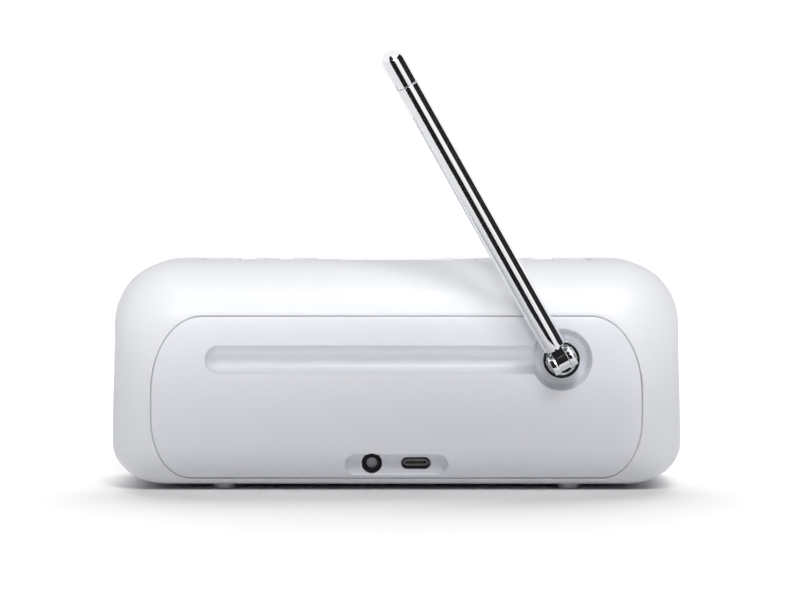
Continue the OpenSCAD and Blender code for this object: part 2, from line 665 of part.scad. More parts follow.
module antenna_pin() color(c_steel) at_turret() translate([0, pin_y, -ear_out - 0.3]) {
    cylinder(r = pin_r, h = 2 * ear_out + 0.6, $fn = 32);
    translate([0, 0, -0.3]) cylinder(r = pin_r + 0.6, h = 0.6 - eps, $fn = 32);
    translate([0, 0, 2 * ear_out + 0.3 + eps]) cylinder(r = pin_r + 0.6, h = 0.6, $fn = 32);
}

module antenna_lug() color(c_chrome) at_pin() difference() {
    union() {
        translate([0, 0, -1.8]) cylinder(r = 3, h = 3.6);
        translate([0, -2.2, -1.8]) cube([tube_from, 4.4, 3.6]);
        along(tube_from - 0.6, tube_from - 0.05, 2.9);
        along(tube_from - 0.1, tube_from + lug_plug, tube_r - tube_wall - 0.03);
    }
    translate([0, 0, -5]) cylinder(r = pin_r + 0.05, h = 10, $fn = 32);
}

module tube(i) at_pin() difference() {
    along(i == 0 ? tube_from : inner_from + 0.4 * i, tube_to - 0.02 * i, tube_r - i * tube_step);
    along(tube_from - 1, tube_to + 1, tube_r - i * tube_step - tube_wall);
}
module antenna_tube_1() color(c_chrome) tube(0);
module antenna_tube_2() color(c_chrome) tube(1);
module antenna_tube_3() color(c_chrome) tube(2);
module antenna_tube_4() color(c_chrome) tube(3);
rod_r = tube_r - 4 * tube_step;
module antenna_rod() color(c_chrome) at_pin() along(inner_from + 1.8, tube_to + 4, rod_r);
module antenna_tip() color(c_chrome) at_pin() difference() {
    union() {
        along(tube_to + 0.1, antenna_len - tube_r, tube_r);
        translate([antenna_len - tube_r, 0, 0]) sphere(r = tube_r);
    }
    along(tube_to - 6, tube_to + 0.1, tube_r + 2);
    along(tube_to - 1, tube_to + 4.2, rod_r + 0.02);
}

module antenna_washer() color(c_steel) y_turned(pivot[0], pivot[1], stem_end_y - 0.7)
    polygon([[1.3, 0], [5, 0], [5, 0.65], [1.3, 0.65]]);
module antenna_screw() color(c_steel)
    y_screw(pivot[0], pivot[1], stem_end_y - 0.75, 1, 6, 2.4, 1.3, 1.15);

// ---- Leads: round wires swept along a smooth curve --------------------------------

function unit(v) = v / norm(v);
function bez(c, t) = pow(1 - t, 3) * c[0] + 3 * t * pow(1 - t, 2) * c[1] + 3 * t * t * (1 - t) * c[2]
    + pow(t, 3) * c[3];
function bez_dir(c, t) = unit(pow(1 - t, 2) * (c[1] - c[0]) + 2 * t * (1 - t) * (c[2] - c[1])
    + t * t * (c[3] - c[2]));
wire_sides = 8;

module wire(c, r, n, side) {
    rings = [for (i = [0:n]) let (p = bez(c, i / n), d = bez_dir(c, i / n), u = unit(cross(d, side)),
        v = cross(d, u)) for (k = [0:wire_sides - 1])
            p + r * (cos(45 * k) * u + sin(45 * k) * v)];
    last = n * wire_sides;
    faces = concat(
        [[for (k = [0:wire_sides - 1]) k]],
        [for (i = [0:n - 1], k = [0:wire_sides - 1]) let (a = i * wire_sides, b = (k + 1) % wire_sides)
            [a + k, a + wire_sides + k, a + wire_sides + b, a + b]],
        [[for (k = [wire_sides - 1:-1:0]) last + k]]);
    polyhedron(points = rings, faces = faces, convexity = 4);
}

module antenna_lead() color([0.1, 0.1, 0.12]) wire([
    [pivot[0] + 6.4, stem_end_y - 0.2, pivot[1] - 3], [pivot[0] + 9, stem_end_y - 0.1, pivot[1] - 20],
    [-36, cable_y + 0.5, board_top + 14], [-26, cable_y + 0.5, board_top + 1.2]], 0.6, 18, [0, 1, 0]);

module speaker_lead() for (i = [0:1]) color(i == 0 ? [0.7, 0.1, 0.1] : [0.1, 0.1, 0.12])
    wire([[-speaker_x + 15.3 + 2.4 * i, baffle_y + 15, front_mid - 8],
        [-speaker_x + 20 + 2.4 * i, baffle_y + 22, front_mid - 14],
        [-29.6 + 2.4 * i, board_front + 6, board_top + 6],
        [-29.6 + 2.4 * i, board_front + 12.5, board_top + 3]], 0.6, 14, [1, 0, 0]);

module battery_lead() for (i = [0:1]) color(i == 0 ? [0.7, 0.1, 0.1] : [0.1, 0.1, 0.12])
    wire([[tray_half + 2, cell_y - 5 - 2.4 * i, cell_z + 1],
        [tray_half + 6, board_front + 6 - 2.4 * i, cell_z - 4],
        [board_half, board_front + 5 - 2.4 * i, board_top + 5.5],
        [26 + 2.4 * i, board_front + 11.1, board_top + 1]], 0.6, 12, [1, 0, 0]);

module feet() color(c_foot) for (p = feet_at) translate([p[0], p[1], 0])
    linear_extrude(height = foot_proud + foot_seat) slot(foot_w, foot_len);

main_housing();
rear_cover();
front_baffle();
grille();
grille_trim();
top_panel();
display_window();
display_module();
key_cable();
key_mat();
key_power();
key_wireless();
key_source();
key_preset_1();
key_preset_2();
key_preset_3();
key_menu();
key_tune_down();
key_tune_up();
key_volume_down();
key_select();
key_volume_up();
key_board();
key_domes();
panel_screws();
driver_basket();
driver_magnet();
driver_cone();
driver_surround();
radiator_ring();
radiator_surround();
radiator_weight();
driver_screws();
baffle_screws();
cover_screws();
battery_cell();
battery_tray();
main_board();
board_parts();
tuner_can();
usb_c_socket();
aux_jack_socket();
port_seal();
board_screws();
antenna_turret();
antenna_pin();
antenna_lug();
antenna_tube_1();
antenna_tube_2();
antenna_tube_3();
antenna_tube_4();
antenna_rod();
antenna_tip();
antenna_washer();
antenna_screw();
antenna_lead();
speaker_lead();
battery_lead();
feet();
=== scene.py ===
"""Looks of the tabletop radio: smooth skins, bright antenna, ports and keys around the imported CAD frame.

Every length in the helpers is in millimetres and is turned into metres when a mesh is made.
"""

import json
import math

import bpy
import numpy as np
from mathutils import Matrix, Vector


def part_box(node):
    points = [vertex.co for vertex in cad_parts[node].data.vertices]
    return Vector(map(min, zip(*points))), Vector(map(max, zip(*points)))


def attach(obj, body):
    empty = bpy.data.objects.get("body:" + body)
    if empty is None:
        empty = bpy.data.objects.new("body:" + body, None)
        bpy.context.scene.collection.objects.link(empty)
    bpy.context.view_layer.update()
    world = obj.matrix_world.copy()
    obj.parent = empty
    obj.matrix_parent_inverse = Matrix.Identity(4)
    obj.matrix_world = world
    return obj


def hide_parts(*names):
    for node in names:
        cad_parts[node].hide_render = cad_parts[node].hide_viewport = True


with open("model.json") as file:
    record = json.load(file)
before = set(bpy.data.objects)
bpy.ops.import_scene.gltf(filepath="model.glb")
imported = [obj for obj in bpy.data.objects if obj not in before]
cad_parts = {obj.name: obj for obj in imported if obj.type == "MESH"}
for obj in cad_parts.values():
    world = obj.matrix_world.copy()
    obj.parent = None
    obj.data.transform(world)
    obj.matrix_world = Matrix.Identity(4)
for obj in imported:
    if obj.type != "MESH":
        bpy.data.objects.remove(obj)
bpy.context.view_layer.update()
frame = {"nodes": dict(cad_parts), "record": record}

MM = 0.001

# ---- Sizes shared with the CAD source, in millimetres ---------------------------
HALF_W, HALF_D, LOW, HIGH = 93.0, 36.0, 1.6, 74.6
SOFT = 2.12                                  # exponent of the body's rounding
TOP_R = (21.5, 22.0, 21.5)                   # reach of the upper rounding along X, Z and Y
LOW_R = (18.5, 14.2, 12.0)                   # reach of the lower rounding
COVER = dict(half=79.8, low=4.0, high=57.29, up=(17.0, 25.0), down=(13.0, 20.0))
FRONT = dict(half=80.0, low=6.3, high=60.0, up=(20.0, 22.0), down=(20.0, 22.0))
PIVOT = np.array([-53.4, 41.0, 43.024])
TURN, TILT = math.radians(60.4), math.radians(8.0)
TUBE_R, TUBE_STEP, ANT_LEN, TIP_LEN = 3.85, 0.5, 114.6, 12.5
GROOVE_R, GROOVE_Y, GROOVE_END = 4.45, 35.5, 57.45
RECESS_R, RECESS_Y = 9.8, 31.0
PORT_Z, PORT_Y, JACK_X, USB_X = 9.1, 31.8, 8.0, -6.3
PORT_HALF, PORT_R = 13.25, 3.6               # straight half length and end radius of the port recess
JACK_R, USB_HALF, USB_R, HOLE_DEEP = 3.14, 2.84, 1.74, 3   # holes in the cover for the two sockets
ROUND_GROOVE, ROUND_RECESS, ROUND_PORT = 0.8, 1.1, 0.45    # widths over which the cover's edges are rounded
TUBE_WALL = 0.42
PANEL_HALF_X, PANEL_HALF_Y, PANEL_R = 65.0, 13.0, 8.0
GAP = 0.35                                   # width of the rear seam
SEAM_DEEP = 0.5                              # how far down the rear seam is closed
COVER_EDGE, HOUSING_EDGE, FRONT_EDGE = 0.3, 0.3, 0.8   # roundings of the edges at the seams
FOOT_X, FOOT_Y, FOOT_HALF, FOOT_R, FOOT_EDGE = 56.5, 18, 4.2, 3.3, 0.5
KEY_R = 4.3
MARK_UP, MARK_DOWN = 0.004, 0.07             # display marks above the window, key marks under the cap's rim

# ---- Light ------------------------------------------------------------------------
FILL, SUN, GLOW, FLOOR_SUN = 0.14, 1.28, 3.2, 2.9   # surround, sun, low strip behind, sun for the floor


# ---- Mesh helpers ---------------------------------------------------------------

def mesh_object(name, verts, faces, body, material, replaces=(), smooth=True):
    """An object of that name from points in millimetres and polygons, riding on a CAD body."""
    verts = np.asarray(verts, float).reshape(-1, 3) * MM
    mesh = bpy.data.meshes.new(name)
    mesh.from_pydata(verts.tolist(), [], faces.tolist() if isinstance(faces, np.ndarray) else faces)
    mesh.validate()
    if smooth:
        mesh.polygons.foreach_set("use_smooth", np.ones(len(mesh.polygons), bool))
    mesh.materials.append(material)
    obj = bpy.data.objects.new(name, mesh)
    bpy.context.scene.collection.objects.link(obj)
    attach(obj, body)
    if replaces:
        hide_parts(*replaces)
    return obj


def grid_faces(rows, cols, wrap=False, flip=False):
    """Quads of a grid of rows x cols points, its columns closed into a ring if wrap is set."""
    last = cols if wrap else cols - 1
    r, c = np.meshgrid(np.arange(rows - 1), np.arange(last), indexing="ij")
    n = (c + 1) % cols
    quads = np.stack([r * cols + c, r * cols + n, (r + 1) * cols + n, (r + 1) * cols + c], -1)
    quads = quads.reshape(-1, 4)
    return quads[:, ::-1] if flip else quads


def join(parts):
    """One list of points and one of faces from several (points, faces) pairs."""
    verts, faces, base = [], [], 0
    for v, f in parts:
        verts.append(np.asarray(v, float).reshape(-1, 3))
        faces += (np.asarray(f) + base).tolist()
        base += len(verts[-1])
    return np.concatenate(verts), faces


def turned(profile, origin, axis, side, n=72):
    """A profile of (radius, distance along the axis) points turned about the axis: a point is origin +
    distance * axis + radius * (cos a * side + sin a * axis x side). Ends with radius 0 close to a point."""
    profile = np.asarray(profile, float)
    axis = np.asarray(axis, float) / np.linalg.norm(axis)
    side = np.asarray(side, float) - axis * np.dot(side, axis)
    side /= np.linalg.norm(side)
    other = np.cross(axis, side)
    a = np.arange(n) * 2 * math.pi / n
    ring = np.cos(a)[:, None] * side + np.sin(a)[:, None] * other
    pts = (np.asarray(origin, float) + profile[:, 1, None, None] * axis
           + profile[:, 0, None, None] * ring[None])
    return pts.reshape(-1, 3), grid_faces(len(profile), n, wrap=True)


def arc(cx, cy, r, a0, a1, n=6):
    """Points of a circular arc from angle a0 to a1, in degrees."""
    a = np.radians(np.linspace(a0, a1, n))
    return np.stack([cx + r * np.cos(a), cy + r * np.sin(a)], -1)


def smin(a, b, k):
    """The smaller of a and b, rounded over a width k where they meet."""
    h = np.clip(0.5 + 0.5 * (b - a) / k, 0, 1)
    return b * (1 - h) + a * h - k * h * (1 - h)


# ---- Body shape -------------------------------------------------------------------

def reach(z, i):
    """Reach of the rounding at height z, easing from the lower corners' value to the upper ones'."""
    t = np.clip((z - (LOW + LOW_R[1])) / (HIGH - TOP_R[1] - LOW - LOW_R[1]), 0, 1)
    return LOW_R[i] + (TOP_R[i] - LOW_R[i]) * t * t * (3 - 2 * t)


def depth_at(x, z):
    """Distance of the body's surface from its middle plane: flat inside, and beyond the flat part a
    superellipse of the distances along X and Z, so every edge rolls over without a crease."""
    rx, ry = reach(z, 0), reach(z, 2)
    dx = np.clip(np.abs(x) - (HALF_W - rx), 0, None) / rx
    dz = np.maximum(np.clip(z - (HIGH - TOP_R[1]), 0, None) / TOP_R[1],
                    np.clip(LOW + LOW_R[1] - z, 0, None) / LOW_R[1])
    rho = np.clip((dx ** SOFT + dz ** SOFT) ** (1 / SOFT), 0, 1)
    return HALF_D - ry + ry * (1 - rho ** SOFT) ** (1 / SOFT)


COUNTS = dict(top=60, side=18, low=44, corner=26)


def outline(half, low, high, up, down, power=2.0, inset=0.0):
    """A closed outline in X and Z, the same number of points on each stretch whatever its size. A corner
    is a quarter of a superellipse; inset draws the whole outline inwards."""
    def corner(cx, cz, rx, rz, sx, sz, rising):
        """Centre plus reach times (cos a, sin a) raised to 2 / power."""
        a = np.linspace(0, math.pi / 2, COUNTS["corner"] + 1)[:-1]
        a = a if rising else math.pi / 2 - a
        return np.stack([cx + sx * (rx - inset) * np.cos(a) ** (2 / power),
                         cz + sz * (rz - inset) * np.sin(a) ** (2 / power)], -1)

    def line(p, q, n):
        """n even steps from p towards q, without q itself."""
        t = np.linspace(0, 1, n + 1)[:-1, None]
        return np.asarray(p) * (1 - t) + np.asarray(q) * t
    xt, xl, zt, zl = half - up[0], half - down[0], high - up[1], low + down[1]
    return np.concatenate([
        line((-xt, high - inset), (xt, high - inset), COUNTS["top"]),
        corner(xt, zt, *up, 1, 1, False),
        line((half - inset, zt), (half - inset, zl), COUNTS["side"]),
        corner(xl, zl, *down, 1, -1, True),
        line((xl, low + inset), (-xl, low + inset), COUNTS["low"]),
        corner(-xl, zl, *down, -1, -1, False),
        line((inset - half, zl), (inset - half, zt), COUNTS["side"]),
        corner(-xt, zt, *up, -1, 1, True)])


def rounded_box(points, half_x, half_y, r):
    """The nearest points on a rounded rectangle's outline."""
    core = np.clip(points, [-half_x + r, -half_y + r], [half_x - r, half_y - r])
    away = points - core
    return core + r * away / np.linalg.norm(away, axis=1)[:, None]


def housing_skin(material):
    """Rings run round the body from the rear seam to the front opening. Each ring's points lie between a
    seam's outline and the silhouette, at the depth of the body's surface there; the flat strip on top is a
    patch of its own between a straight rectangle and the control panel's opening."""
    sil = outline(HALF_W, LOW, HIGH, TOP_R[:2], LOW_R[:2], SOFT)

    def half(seam, sign, lip, edge):
        """Rings from a seam's lip over its rounded edge out to the silhouette, closer together there."""
        out = sil - seam
        out /= np.linalg.norm(out, axis=1)[:, None]
        y0 = depth_at(*(seam + out * edge).T)
        rows = [np.column_stack([seam[:, 0], sign * (y0 - lip), seam[:, 1]])]
        if sign > 0:                         # a ledge closes the rear seam a little way down
            p = seam - out * (GAP - 0.04)
            rows = [np.column_stack([p[:, 0], y0 - SEAM_DEEP - 0.2, p[:, 1]]),
                    np.column_stack([p[:, 0], y0 - SEAM_DEEP, p[:, 1]]),
                    np.column_stack([seam[:, 0], y0 - SEAM_DEEP, seam[:, 1]])]
        for a in np.radians(np.linspace(0, 90, 5))[:-1]:
            p = seam + out * edge * (1 - np.cos(a))
            rows.append(np.column_stack([p[:, 0], sign * (y0 - edge * (1 - np.sin(a))), p[:, 1]]))
        start = seam + out * edge
        for s in np.linspace(0, 1, 30):
            q = 1 - (1 - s) ** 2
            p = start + (sil - start) * q
            rows.append(np.column_stack([p[:, 0], sign * depth_at(p[:, 0], p[:, 1]), p[:, 1]]))
        return rows
    back = half(outline(**COVER), 1, 2.2, HOUSING_EDGE)
    front = half(outline(**FRONT), -1, 5.5, FRONT_EDGE)[::-1]
    strip = 14
    y_side = HALF_D - reach(sil[:, 1], 2)
    middle = [np.column_stack([sil[:, 0], y_side * (1 - 2 * k / strip), sil[:, 1]])
              for k in range(1, strip)]
    rings = back + middle + front
    n = len(sil)
    verts = np.concatenate(rings)
    faces = grid_faces(len(rings), n, wrap=True)
    first, last = len(back) - 1, len(back) - 1 + strip
    top = COUNTS["top"]
    row = np.repeat(np.arange(len(rings) - 1), n)
    col = np.tile(np.arange(n), len(rings) - 1)
    faces = faces[~((row >= first) & (row < last) & (col < top))]
    # the patch round the panel's opening, with an edge rounded by 0.3 mm
    loop = ([(first, c) for c in range(top)] + [(r, top) for r in range(first, last)]
            + [(last, c) for c in range(top, 0, -1)] + [(r, 0) for r in range(last, first, -1)])
    ids = np.array([r * n + c for r, c in loop])
    outer = verts[ids][:, :2]
    inner = rounded_box(outer, PANEL_HALF_X, PANEL_HALF_Y, PANEL_R)
    away = outer - inner
    away /= np.maximum(np.linalg.norm(away, axis=1), 1e-9)[:, None]
    r = 0.3
    levels = [(outer + (inner + away * r - outer) * t, HIGH) for t in (0.5, 1.0)]
    levels += [(inner + away * r * (1 - math.sin(a)), HIGH - r * (1 - math.cos(a)))
               for a in np.radians([30, 60, 90])]
    levels += [(inner, HIGH - 2.0)]
    extra = np.concatenate([np.column_stack([p, np.full(len(p), z)]) for p, z in levels])
    m, base = len(ids), len(verts)
    ring_ids = [ids] + [base + k * m + np.arange(m) for k in range(len(levels))]
    patch = np.concatenate([np.stack([a, np.roll(a, -1), np.roll(b, -1), b], -1)
                            for a, b in zip(ring_ids, ring_ids[1:])])
    verts = np.concatenate([verts, extra])
    faces = np.concatenate([faces, patch])
    return mesh_object("housing_skin", verts, faces, "case_body", material,
                       ["main_housing"])


def spread(*stops):
    """Sorted positions from (start, end, step) stretches."""
    lines = np.concatenate([np.linspace(a, b, max(1, int(round((b - a) / s))), endpoint=False)
                            for a, b, s in stops])
    return np.append(lines, stops[-1][1])


def slot_distance(x, z, cx, cz, half, r=0.0):
    """Distance from a level line of that half length, less r."""
    return np.hypot(np.clip(np.abs(x - cx) - half, 0, None), z - cz) - r


def bowl(floor, d, start, width, climb):
    """A recess's depth: its floor, plus climb times the square of (distance past the start / width)."""
    return floor + (np.clip(d + start, 0, None) / width) ** 2 * climb


def cover_depth(x, z):
    """Depth of the rear cover: the body's surface cut by the half-round groove, the pivot recess and the port
    recess, each with its edge rounded by a smooth minimum, and by the two port holes, cut with a plain
    minimum."""
    base = depth_at(x, z)
    mid = (PIVOT[0] + GROOVE_END) / 2
    d = slot_distance(x, z, mid, PIVOT[2], GROOVE_END - mid)
    groove = GROOVE_Y - np.sqrt(np.clip(GROOVE_R ** 2 - np.minimum(d, GROOVE_R) ** 2, 0, None)) \
        + np.clip(d - GROOVE_R, 0, None) * 6
    d = np.hypot(x - PIVOT[0], z - PIVOT[2])
    recess = bowl(RECESS_Y, d - RECESS_R, 1.6, 1.7, 5)
    y = smin(smin(base, groove, ROUND_GROOVE), recess, ROUND_RECESS)
    d = slot_distance(x, z, 0, PORT_Z - 0.5, PORT_HALF, PORT_R)
    y = smin(y, bowl(PORT_Y, d, 0.7, 0.7, 4), ROUND_PORT)
    for d in (np.hypot(x - JACK_X, z - PORT_Z) - JACK_R, slot_distance(x, z, USB_X, PORT_Z, USB_HALF, USB_R)):
        y = np.minimum(y, bowl(PORT_Y - HOLE_DEEP, d, 0, 0.16, HOLE_DEEP))
    return y


def cover_skin(material):
    """A sheet of points on lines of X and Z that crowd together at the groove, the recesses and the ports.
    Beyond X = 58 the lines close up to follow the seam's outline; the sheet's edge is carried over a small
    rounding and down into the seam."""
    edge = COVER_EDGE
    inset = GAP + edge
    full, low, high = COVER["half"] - GAP - edge, COVER["low"] + GAP + edge, COVER["high"] - GAP - edge
    xs = spread((-full, -64.5, 1.1), (-64.5, -42.6, .17), (-42.6, -17.8, 1.2), (-17.8, -13.5, .22),
                (-13.5, -11.5, .4), (-11.5, -1, .19), (-1, 4, .5), (4, 12, .17), (12, 13.5, .4),
                (13.5, 17.8, .22), (17.8, 50, 1.2), (50, 63.2, .25), (63.2, full, 1.1))
    zs = spread((low, low + .4, .08), (low + .4, 13.6, .17), (13.6, 31.5, 1), (31.5, 37.6, .22),
                (37.6, 39.6, .11), (39.6, 46.6, .24), (46.6, 48.6, .11), (48.6, 54, .22), (54, 56, .4),
                (56, high - .2, .12), (high - .2, high, .03))
    up, down = COVER["up"], COVER["down"]

    def side(reach_xz, beyond_z):
        """Half width of the outline where a corner's ellipse has been entered by that height."""
        rx, rz = reach_xz[0] - inset, reach_xz[1] - inset
        drop = np.clip(beyond_z, 0, None) / rz
        return COVER["half"] - reach_xz[0] + rx * np.sqrt(np.clip(1 - drop ** 2, 0, 1))
    zt, zl = COVER["high"] - up[1], COVER["low"] + down[1]
    widest = np.where(zs > zt, side(up, zs - zt), side(down, zl - zs))
    hold = 58.0
    X = np.broadcast_to(xs, (len(zs), len(xs))).copy()
    Z = np.broadcast_to(zs[:, None], X.shape).copy()
    beyond = np.abs(X) > hold
    share = (np.abs(X) - hold) / (full - hold)
    X = np.where(beyond, np.sign(X) * (hold + share * (widest[:, None] - hold)), X)
    Y = cover_depth(X, Z)
    verts = np.stack([X, Y, Z], -1).reshape(-1, 3)
    rows, cols = X.shape
    faces = grid_faces(rows, cols)
    ids = np.concatenate([np.arange(cols), cols - 1 + cols * np.arange(1, rows),
                          (rows - 1) * cols + np.arange(cols - 2, -1, -1), cols * np.arange(rows - 2, 0, -1)])
    loop = verts[ids]
    tangent = np.roll(loop, -1, 0)[:, [0, 2]] - np.roll(loop, 1, 0)[:, [0, 2]]
    out = np.stack([tangent[:, 1], -tangent[:, 0]], -1)
    out /= np.maximum(np.linalg.norm(out, axis=1), 1e-9)[:, None]
    levels = [(edge * math.sin(a), edge * (1 - math.cos(a))) for a in np.radians([22, 45, 68, 90])]
    levels += [(edge, 2.4)]
    ring_ids, extra = [ids], []
    for k, (away, drop) in enumerate(levels):
        p = loop[:, [0, 2]] + out * away
        extra.append(np.column_stack([p[:, 0], loop[:, 1] - drop, p[:, 1]]))
        ring_ids.append(len(verts) + k * len(ids) + np.arange(len(ids)))
    rim = np.concatenate([np.stack([a, b, np.roll(b, -1), np.roll(a, -1)], -1)
                          for a, b in zip(ring_ids, ring_ids[1:])])
    verts = np.concatenate([verts] + extra)
    faces = np.concatenate([faces[:, ::-1], rim[:, ::-1]])
    return mesh_object("cover_skin", verts, faces, "case_body", material,
                       ["rear_cover"])


# ---- Materials ----------------------------------------------------------------------

def grain_group():
    """A shader group that gives a fine raised grain: a normal from noise in object space."""
    tree = bpy.data.node_groups.new("fine_grain", "ShaderNodeTree")
    for socket, value in (("Scale", 900.0), ("Height", 0.00002)):
        tree.interface.new_socket(socket, in_out="INPUT", socket_type="NodeSocketFloat").default_value = value
    tree.interface.new_socket("Normal", in_out="OUTPUT", socket_type="NodeSocketVector")
    n, l = tree.nodes, tree.links
    gin, gout = n.new("NodeGroupInput"), n.new("NodeGroupOutput")
    coord, noise, bump = n.new("ShaderNodeTexCoord"), n.new("ShaderNodeTexNoise"), n.new("ShaderNodeBump")
    noise.inputs["Detail"].default_value = 2.0
    l.new(coord.outputs["Object"], noise.inputs["Vector"])
    l.new(gin.outputs["Scale"], noise.inputs["Scale"])
    l.new(noise.outputs["Fac"], bump.inputs["Height"])
    l.new(gin.outputs["Height"], bump.inputs["Distance"])
    l.new(bump.outputs["Normal"], gout.inputs["Normal"])
    return tree


GRAIN = grain_group()


def material(name, color, rough=0.4, metal=0.0, coat=0.0, grain=None, vary=0.0, ior=1.5, subsurface=0.0):
    """A Principled material; grain is (scale, height in metres) of a fine bump, and vary is how much the
    roughness wanders with a slow noise."""
    m = bpy.data.materials.new(name)
    m.use_nodes = True
    n, l = m.node_tree.nodes, m.node_tree.links
    p = next(x for x in n if x.type == "BSDF_PRINCIPLED")
    p.inputs["Base Color"].default_value = (*color, 1)
    p.inputs["Roughness"].default_value = rough
    p.inputs["Metallic"].default_value = metal
    p.inputs["IOR"].default_value = ior
    p.inputs["Coat Weight"].default_value = coat
    p.inputs["Coat Roughness"].default_value = 0.15
    if subsurface:
        p.inputs["Subsurface Weight"].default_value = subsurface
        p.inputs["Subsurface Radius"].default_value = (0.003, 0.003, 0.003)
        p.inputs["Subsurface Scale"].default_value = 1.0
    if grain:
        g = n.new("ShaderNodeGroup")
        g.node_tree = GRAIN
        g.inputs["Scale"].default_value = grain[0]
        g.inputs["Height"].default_value = grain[1]
        l.new(g.outputs["Normal"], p.inputs["Normal"])
    if vary:
        c, t, r = n.new("ShaderNodeTexCoord"), n.new("ShaderNodeTexNoise"), n.new("ShaderNodeMapRange")
        t.inputs["Scale"].default_value = 40.0
        r.inputs["To Min"].default_value = max(0.0, rough - vary)
        r.inputs["To Max"].default_value = rough + vary
        l.new(c.outputs["Object"], t.inputs["Vector"])
        l.new(t.outputs["Fac"], r.inputs["Value"])
        l.new(r.outputs["Result"], p.inputs["Roughness"])
    return m


M = {
    "body": material("white_body", (0.785, 0.795, 0.83), 0.45, coat=0.06, vary=0.03),
    "cover": material("white_cover", (0.775, 0.785, 0.835), 0.38, coat=0.15, vary=0.03),
    "key": material("white_key", (0.80, 0.80, 0.82), 0.5, grain=(1500, 1e-5)),
    "grille": material("grille_paint", (0.60, 0.61, 0.65), 0.5, grain=(2200, 2e-5)),
    "black": material("black_plastic", (0.018, 0.018, 0.02), 0.55, grain=(1800, 1.5e-5)),
    "frame": material("frame_plastic", (0.02, 0.02, 0.022), 0.6, grain=(1500, 2e-5)),
    "port": material("port_plastic", (0.006, 0.006, 0.007), 0.5, ior=1.25),
    "port_metal": material("port_metal", (0.03, 0.03, 0.032), 0.42, metal=1.0),
    "chrome": material("antenna_chrome", (0.86, 0.87, 0.89), 0.045, metal=1.0),
    "steel": material("screw_steel", (0.5, 0.5, 0.52), 0.3, metal=1.0, vary=0.06),
    "foot": material("foot_rubber", (0.55, 0.56, 0.58), 0.55, subsurface=0.3),
    "window": material("window_tint", (0.012, 0.013, 0.016), 0.06, coat=0.6),
    "panel": material("display_panel", (0.06, 0.08, 0.08), 0.3),
    "film": material("flat_cable", (0.6, 0.52, 0.3), 0.35),
    "silicone": material("silicone_mat", (0.2, 0.2, 0.22), 0.6),
    "board": material("circuit_board", (0.01, 0.09, 0.04), 0.35, vary=0.1),
    "gold": material("contact_metal", (0.83, 0.6, 0.25), 0.25, metal=1.0),
    "magnet": material("magnet_plate", (0.32, 0.32, 0.34), 0.35, metal=1.0, vary=0.08),
    "cone": material("cone_pulp", (0.02, 0.02, 0.022), 0.85, grain=(900, 6e-5)),
    "rubber": material("surround_rubber", (0.012, 0.012, 0.013), 0.5),
    "cell": material("cell_wrap", (0.03, 0.12, 0.32), 0.25),
    "chip": material("chip_plastic", (0.015, 0.015, 0.016), 0.5, grain=(2500, 1e-5)),
    "can": material("shield_can", (0.55, 0.55, 0.56), 0.3, metal=1.0, vary=0.08),
    "foam": material("seal_foam", (0.01, 0.01, 0.011), 0.95, grain=(2000, 5e-5)),
    "wire": material("wire_cover", (0.03, 0.01, 0.012), 0.45),
    "icon": material("icon_ink", (0.10, 0.105, 0.12), 0.6),
    "segment": material("display_segment", (0.55, 0.75, 0.85), 0.4),
}

LOOK_NODES = {                                # look: the CAD nodes that wear it
    "black": "front_baffle battery_tray",
    "grille": "grille",
    "body": "grille_trim top_panel main_housing",
    "window": "display_window",
    "panel": "display_module",
    "film": "key_cable",
    "silicone": "key_mat",
    "board": "key_board main_board",
    "gold": "key_domes",
    "steel": "panel_screws driver_screws baffle_screws cover_screws board_screws "
             "antenna_washer antenna_screw antenna_pin",
    "frame": "driver_basket radiator_ring radiator_weight",
    "magnet": "driver_magnet",
    "cone": "driver_cone",
    "rubber": "driver_surround radiator_surround",
    "cell": "battery_cell",
    "chip": "board_parts",
    "can": "tuner_can",
    "port_metal": "usb_c_socket",
    "port": "aux_jack_socket",
    "foam": "port_seal",
    "wire": "antenna_lead speaker_lead battery_lead",
    "foot": "feet",
    "cover": "rear_cover",
}
NODE_LOOK = {node: look for look, nodes in LOOK_NODES.items() for node in nodes.split()}
for node, obj in frame["nodes"].items():
    look = NODE_LOOK.get(node, "key" if node.startswith("key_") else "chrome")
    obj.data.materials.clear()
    obj.data.materials.append(M[look])

housing_skin(M["body"])
cover_skin(M["cover"])

# ---- Antenna ----------------------------------------------------------------------

ALONG = np.array([math.cos(TURN) * math.cos(TILT), math.sin(TILT), math.sin(TURN) * math.cos(TILT)])
PIN_AXIS = np.array([-math.sin(TURN), 0.0, math.cos(TURN)])
TUBE_END = ANT_LEN - TIP_LEN - 0.1


